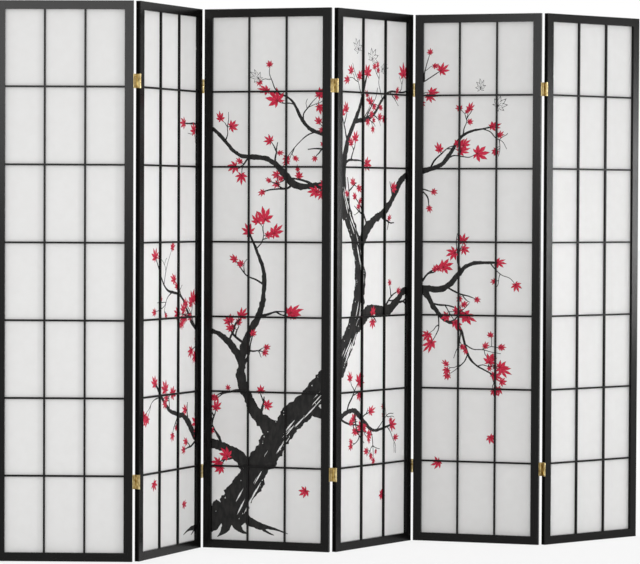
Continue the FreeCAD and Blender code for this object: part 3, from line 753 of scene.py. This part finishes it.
for panel in panels:
    low, high = panel.extent("paper")
    if panel.number in PRINTED:
        spots, kept = sheet_triangles(low, high, (panel.number - 2) * PRINT_PITCH)
    else:
        spots = sheet_corners(low, high)
        kept = [((0, 1, 2), PAPER), ((0, 2, 3), PAPER)]
    edges = {(a, b) for triangle, _ in kept for a, b in zip(triangle, triangle[1:] + triangle[:1])}
    count = len(spots)
    faces = [tuple(triangle) for triangle, _ in kept]
    faces += [tuple(count + corner for corner in reversed(triangle)) for triangle, _ in kept]
    faces += [(b, a, count + a, count + b) for a, b in edges if (b, a) not in edges]
    mesh = bpy.data.meshes.new(f"printed_paper_{panel.number}")
    mesh.from_pydata([(spot.x, depth, spot.y) for depth in (low.y, high.y) for spot in spots], [], faces)
    for finish in paper_shades:
        mesh.materials.append(finish)
    for face, (_, shade) in zip(mesh.polygons, kept):
        face.material_index = shade
    # The back faces take the print's back shades, which carry painted shade of the ink against light coming
    # through the paper.
    for face, (_, shade) in zip(mesh.polygons[len(kept):], kept):
        face.material_index = BEHIND[shade]
    mesh.transform(panel.placing())
    keep_place(mesh, panel)
    paper = bpy.data.objects.new(f"printed_paper_{panel.number}", mesh)
    scene.collection.objects.link(paper)
    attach(paper, panel.body)
    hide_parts(f"panel_{panel.number}_paper")

# Battens: four thin lacquered strips that hold each sheet in its rebate at the back. They are
# butted at the corners and pinned every 15 cm or so with small brass brads.
BATTEN_EASING = 0.0004
BATTEN_GRAIN = (0.02, 0.0014, 0.02)
BATTEN_SHEEN = 0.34
BATTEN_GLOSS = 0.18
batten_finish = [lacquer("batten lacquer", BATTEN_GRAIN, BATTEN_SHEEN, BATTEN_GLOSS, rubbed=False)]
for panel in panels:
    eased(f"battens_{panel.number}", panel, panel.body, [f"panel_{panel.number}_battens"], BATTEN_EASING,
          batten_finish)

BATTEN_WIDTH = 0.0075
BRAD_SPACING = 0.15
BRAD_FROM_END = 0.03
HEAD_RADIUS = 0.0016
HEAD_HEIGHT = 0.00035
HEAD_CORNERS = 12
HEAD_TOP = 0.45
GOLD_WARM = (0.25, 0.155, 0.042, 1)
GOLD_PALE = (0.86, 0.73, 0.39, 1)
TARNISH_PATCH = (0.008, 0.008, 0.014)
BRUSH_RELIEF = 0.00002
BRUSHING_DULLS = 0.09
TARNISH_DULLS = 0.08


def brass(name, brushed, sheen):
    """Lacquered brass with fine brush marks, a little darker where fingers have been."""
    material, nodes, surface, place = new_finish(name)
    marks = stretched(nodes, place, brushed, detail=3.0)
    tarnish = stretched(nodes, place, TARNISH_PATCH, detail=5.0)
    nodes.join(mixed(nodes, ramp(nodes, tarnish, 0.3, 0.7), GOLD_PALE, GOLD_WARM),
               surface.inputs["Base Color"])
    brushing = ramp(nodes, marks, 0.3, 0.7) * BRUSHING_DULLS
    nodes.join(sheen + brushing + ramp(nodes, tarnish, 0.4, 0.7) * TARNISH_DULLS, surface.inputs["Roughness"])
    surface.inputs["Metallic"].default_value = 1.0
    bumped(nodes, surface, marks, BRUSH_RELIEF)
    return material


head_finish = brass("turned brass", brushed=(0.0006, 0.0006, 0.0006), sheen=0.22)


def brad_tree():
    """Small domed heads at an even spacing along the edges of a mesh."""
    tree = bpy.data.node_groups.new("brads", "GeometryNodeTree")
    face = tree.interface
    face.new_socket("Geometry", in_out="INPUT", socket_type="NodeSocketGeometry")
    sizes = {}
    for name in ("Spacing", "Head radius", "Head height"):
        sizes[name] = face.new_socket(name, in_out="INPUT", socket_type="NodeSocketFloat").identifier
    face.new_socket("Geometry", in_out="OUTPUT", socket_type="NodeSocketGeometry")
    made = {name: tree.nodes.new(kind) for name, kind in (
        ("given", "NodeGroupInput"), ("lines", "GeometryNodeMeshToCurve"),
        ("spots", "GeometryNodeResampleCurve"), ("head", "GeometryNodeMeshCone"),
        ("heads", "GeometryNodeInstanceOnPoints"), ("plain", "GeometryNodeRealizeInstances"),
        ("finish", "GeometryNodeSetMaterial"), ("result", "NodeGroupOutput"))}
    made["spots"].mode = "LENGTH"
    made["head"].inputs["Vertices"].default_value = HEAD_CORNERS
    made["head"].inputs["Radius Top"].default_value = HEAD_RADIUS * HEAD_TOP
    made["heads"].inputs["Rotation"].default_value = (math.radians(-90), 0, 0)
    made["finish"].inputs["Material"].default_value = head_finish
    for start, out, end, into in (
            ("given", "Geometry", "lines", "Mesh"), ("lines", "Curve", "spots", "Curve"),
            ("given", "Spacing", "spots", "Length"), ("given", "Head radius", "head", "Radius Bottom"),
            ("given", "Head height", "head", "Depth"), ("spots", "Curve", "heads", "Points"),
            ("head", "Mesh", "heads", "Instance"), ("heads", "Instances", "plain", "Geometry"),
            ("plain", "Geometry", "finish", "Geometry"), ("finish", "Geometry", "result", "Geometry")):
        tree.links.new(made[start].outputs[out], made[end].inputs[into])
    return tree, sizes


brad_nodes, brad_inputs = brad_tree()
for panel in panels:
    low, high = panel.extent("battens")
    middle = BATTEN_WIDTH / 2
    left, right, bottom, top = low.x + middle, high.x - middle, low.z + middle, high.z - middle
    inset = BRAD_FROM_END
    path = [(left, bottom + inset), (left, top - inset), (right, bottom + inset), (right, top - inset),
            (left + inset, bottom), (right - inset, bottom), (left + inset, top), (right - inset, top)]
    mesh = bpy.data.meshes.new(f"brads_{panel.number}")
    mesh.from_pydata([(x, high.y, z) for x, z in path], [(0, 1), (2, 3), (4, 5), (6, 7)], [])
    brads = bpy.data.objects.new(f"brads_{panel.number}", mesh)
    scene.collection.objects.link(brads)
    making = brads.modifiers.new("brads", "NODES")
    making.node_group = brad_nodes
    making[brad_inputs["Spacing"]] = BRAD_SPACING
    making[brad_inputs["Head radius"]] = HEAD_RADIUS
    making[brad_inputs["Head height"]] = HEAD_HEIGHT
    plain_mesh(brads)
    brads.data.transform(panel.placing())
    keep_place(brads.data, panel)
    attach(brads, panel.body)

# Hinge leaves: stamped brass plates let into the stiles' edges, each with a rolled knuckle and two
# countersunk holes. The screws' slotted heads lie flush in them.
LEAF_EASING = 0.00015
HINGE_QUARTER = 0.01125
GROOVE_HEIGHT = 0.0015
GROOVE_FLOOR = 0.0023
KNUCKLE_RADIUS = 0.0032
GROOVE_CORNERS = 32
RING_REACH = 1.08
leaf_finish = [brass("brushed brass", brushed=(0.0022, 0.0022, 0.0002), sheen=0.26)]
screw_finish = [brass("screw brass", brushed=(0.0004, 0.0004, 0.0004), sheen=0.24)]


def hinge_pins(joint):
    """The middle of each of a joint's four pins."""
    spots = [vertex.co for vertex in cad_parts[f"hinge_{joint}_pins"].data.vertices]
    groups = {}
    for spot in spots:
        near = (spot.xy - spots[0].xy).length < 2 * KNUCKLE_RADIUS
        groups.setdefault((near, spot.z < panels[0].size.z / 2), []).append(spot)
    return [Vector([(min(spot[i] for spot in pin) + max(spot[i] for spot in pin)) / 2 for i in range(3)])
            for pin in groups.values()]


def groove_rings(joints):
    """Rings that part the knuckles of some joints into short rolled lengths."""
    shape = bmesh.new()
    outside = KNUCKLE_RADIUS * RING_REACH
    outline = ((GROOVE_FLOOR, -0.5), (outside, -0.5), (outside, 0.5), (GROOVE_FLOOR, 0.5))
    for middle in [pin for joint in joints for pin in hinge_pins(joint)]:
        for quarter in (-1, 0, 1):
            rings = []
            for i in range(GROOVE_CORNERS):
                turn = 2 * math.pi * i / GROOVE_CORNERS
                rings.append([shape.verts.new(middle + Vector((
                    radius * math.cos(turn), radius * math.sin(turn),
                    quarter * HINGE_QUARTER + height * GROOVE_HEIGHT))) for radius, height in outline])
            for ring, following in zip(rings, rings[1:] + rings[:1]):
                for i in range(4):
                    shape.faces.new((ring[i - 1], following[i - 1], following[i], ring[i]))
    bmesh.ops.recalc_face_normals(shape, faces=shape.faces)
    mesh = bpy.data.meshes.new("groove rings")
    shape.to_mesh(mesh)
    shape.free()
    rings = bpy.data.objects.new("groove rings", mesh)
    scene.collection.objects.link(rings)
    return rings


for panel in panels:
    cutter = groove_rings([joint for joint in (panel.number - 1, panel.number) if 0 < joint < len(panels)])
    eased(f"hinge_leaves_{panel.number}", panel, panel.body, [f"panel_{panel.number}_hinge_leaves"],
          LEAF_EASING, leaf_finish, cutter)
    bpy.data.objects.remove(cutter)
    eased(f"hinge_screws_{panel.number}", panel, panel.body, [f"panel_{panel.number}_hinge_screws"],
          LEAF_EASING / 3, screw_finish)

# Links: the middle plates of the two-way hinges. Each has a knuckle round a pin at its front and at
# its back, and the pins' turned heads hold it between the leaves.
pin_finish = [brass("pin brass", brushed=(0.0005, 0.0005, 0.0005), sheen=0.2)]
for panel in panels[:-1]:
    joint = panel.number
    cutter = groove_rings([joint])
    eased(f"hinge_links_{joint}", panel, f"link_{joint}", [f"hinge_{joint}_links"],
          LEAF_EASING, leaf_finish, cutter)
    bpy.data.objects.remove(cutter)
    eased(f"hinge_pins_{joint}", panel, f"link_{joint}", [f"hinge_{joint}_pins"],
          LEAF_EASING, pin_finish)
